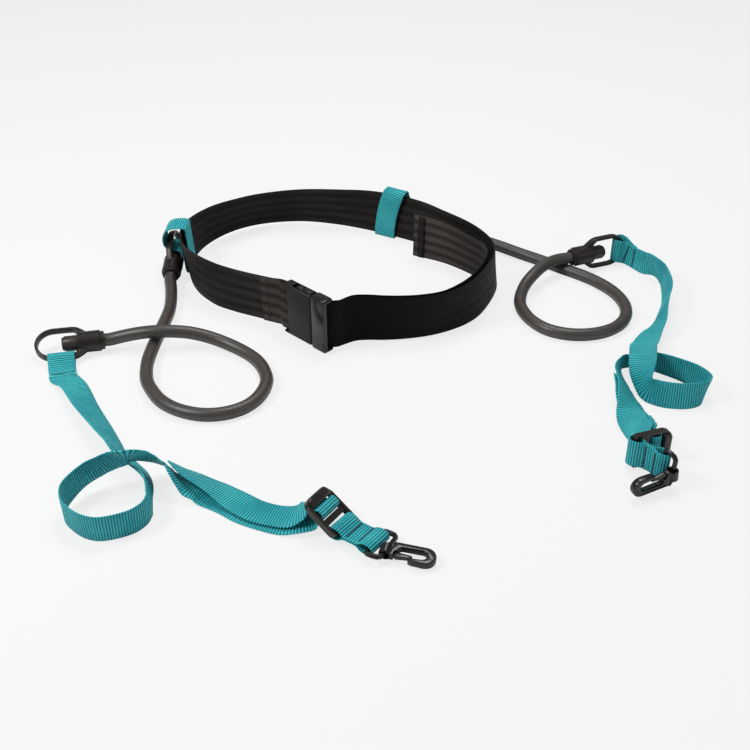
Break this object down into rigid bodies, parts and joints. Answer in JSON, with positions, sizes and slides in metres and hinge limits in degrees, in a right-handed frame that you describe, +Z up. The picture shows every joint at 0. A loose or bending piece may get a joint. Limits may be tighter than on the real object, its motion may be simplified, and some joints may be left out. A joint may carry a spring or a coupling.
{
  "type": "swim tether",
  "caption": "Waist belt of webbing with a side-release buckle, rubber tubes in ringed sleeves and adjustable webbing straps ending in plastic snap hooks.",
  "frame": {"origin": "on the floor under the middle of the box round the belt, rings and hooks, without the tubes and straps", "axes": "+Z up from the floor it lies on, the buckle side of the belt toward -Y, the two tethers to -X and +X"},
  "size_m": [0.6389, 0.588, 0.0588],
  "materials": {
    "belt_webbing": "woven",
    "loop_webbing": "woven",
    "strap_webbing": "woven",
    "buckle_plastic": "satin",
    "moulded_plastic": "satin",
    "plug_plastic": "satin",
    "tube_rubber": "satin",
    "lock_plastic": "glossy",
    "hook_plastic": "glossy"
  },
  "bodies": {
    "belt": {"belt_webbing": "belt_webbing", "belt_webbing_front": "belt_webbing", "belt_tail": "belt_webbing", "buckle_housing": "buckle_plastic"},
    "fork": {"buckle_fork": "buckle_plastic"},
    "prong_upper": {"buckle_prong_upper": "buckle_plastic"},
    "prong_lower": {"buckle_prong_lower": "buckle_plastic"},
    "loop_left": {"belt_loop_left": "loop_webbing"},
    "tether_left": {"ring_sleeve_inner_left": "moulded_plastic", "tube_plug_inner_left": "plug_plastic", "tube_left": "tube_rubber", "ring_sleeve_outer_left": "moulded_plastic", "tube_plug_outer_left": "plug_plastic"},
    "strap_left": {"strap_run_left": "strap_webbing", "strap_tail_left": "strap_webbing", "ladder_lock_left": "lock_plastic"},
    "tab_left": {"hook_tab_left": "loop_webbing"},
    "eye_left": {"hook_eye_left": "hook_plastic"},
    "hook_left": {"hook_body_left": "hook_plastic"},
    "gate_left": {"hook_gate_left": "hook_plastic"},
    "loop_right": {"belt_loop_right": "loop_webbing"},
    "tether_right": {"ring_sleeve_inner_right": "moulded_plastic", "tube_plug_inner_right": "plug_plastic", "tube_right": "tube_rubber", "ring_sleeve_outer_right": "moulded_plastic", "tube_plug_outer_right": "plug_plastic"},
    "strap_right": {"strap_run_right": "strap_webbing", "strap_tail_right": "strap_webbing", "ladder_lock_right": "lock_plastic"},
    "tab_right": {"hook_tab_right": "loop_webbing"},
    "eye_right": {"hook_eye_right": "hook_plastic"},
    "hook_right": {"hook_body_right": "hook_plastic"},
    "gate_right": {"hook_gate_right": "hook_plastic"}
  },
  "joints": [
    {"name": "buckle_release", "type": "slide", "parent": "belt", "child": "fork", "axis": [0.7193, -0.6947, 0], "range_m": [0, 0.024], "deforming": ["belt_webbing_front", "belt_tail"]},
    {"name": "prong_upper_squeeze", "type": "hinge", "parent": "fork", "child": "prong_upper", "pos_m": [-0.03305, 0.02288, 0.0446], "axis": [-0.6947, -0.7193, 0], "range_deg": [0, 5], "stiffness_Nm_per_rad": 1},
    {"name": "prong_lower_squeeze", "type": "hinge", "parent": "fork", "child": "prong_lower", "pos_m": [-0.03305, 0.02288, 0.0146], "axis": [-0.6947, -0.7193, 0], "range_deg": [-5, 0], "stiffness_Nm_per_rad": 1},
    {"name": "loop_travel_left", "type": "hinge", "parent": "belt", "child": "loop_left", "pos_m": [-0.0728, 0.18333, 0.025], "axis": [0, 0, 1], "range_deg": [0, 1.5]},
    {"name": "tether_swing_left", "type": "hinge", "parent": "loop_left", "child": "tether_left", "pos_m": [-0.19563, 0.17808, 0.03585], "axis": [0, 0, 1], "range_deg": [-5, 5]},
    {"name": "strap_swing_left", "type": "hinge", "parent": "tether_left", "child": "strap_left", "pos_m": [-0.27412, -0.01065, 0.00585], "axis": [-0.9799, -0.1994, 0], "range_deg": [0, 60]},
    {"name": "tab_swing_left", "type": "hinge", "parent": "strap_left", "child": "tab_left", "pos_m": [0.00139, -0.25221, 0.00765], "axis": [-0.4705, -0.8721, 0.1345], "range_deg": [0, 20]},
    {"name": "eye_swing_left", "type": "hinge", "parent": "tab_left", "child": "eye_left", "pos_m": [0.02642, -0.26878, 0.00629], "axis": [-0.4522, -0.8898, 0.061], "range_deg": [0, 15]},
    {"name": "hook_swing_left", "type": "hinge", "parent": "eye_left", "child": "hook_left", "pos_m": [0.03711, -0.27423, 0.00608], "axis": [-0.4522, -0.8898, 0.061], "range_deg": [0, 40]},
    {"name": "gate_open_left", "type": "hinge", "parent": "hook_left", "child": "gate_left", "pos_m": [0.0428, -0.28395, 0.00584], "axis": [0.0169, -0.0761, 0.997], "range_deg": [0, 12], "stiffness_Nm_per_rad": 0.02},
    {"name": "loop_travel_right", "type": "slide", "parent": "belt", "child": "loop_right", "axis": [-0.866, 0.5, 0], "range_m": [-0.003, 0.003]},
    {"name": "tether_swing_right", "type": "hinge", "parent": "loop_right", "child": "tether_right", "pos_m": [0.06228, 0.27673, 0.03257], "axis": [0, 0, 1], "range_deg": [-5, 1.5]},
    {"name": "strap_swing_right", "type": "hinge", "parent": "tether_right", "child": "strap_right", "pos_m": [0.29972, 0.1949, 0.0184], "axis": [0, 0, 1], "range_deg": [-3, 12]},
    {"name": "tab_swing_right", "type": "hinge", "parent": "strap_right", "child": "tab_right", "pos_m": [0.24264, -0.1694, 0.0169], "axis": [0, 0, 1], "range_deg": [-6, 10]},
    {"name": "eye_swing_right", "type": "hinge", "parent": "tab_right", "child": "eye_right", "pos_m": [0.26242, -0.18784, 0.018], "axis": [0.037, -0.0592, 0.9976], "range_deg": [-10, 10]},
    {"name": "hook_swing_right", "type": "hinge", "parent": "eye_right", "child": "hook_right", "pos_m": [0.26876, -0.198, 0.01716], "axis": [0.037, -0.0592, 0.9976], "range_deg": [-20, 25]},
    {"name": "gate_open_right", "type": "hinge", "parent": "hook_right", "child": "gate_right", "pos_m": [0.26022, -0.20162, 0.0173], "axis": [0.3907, -0.9205, 0], "range_deg": [0, 12], "stiffness_Nm_per_rad": 0.02}
  ],
  "couplings": [
    {"joint": "prong_lower_squeeze", "follows": "prong_upper_squeeze", "ratio": -1}
  ]
}
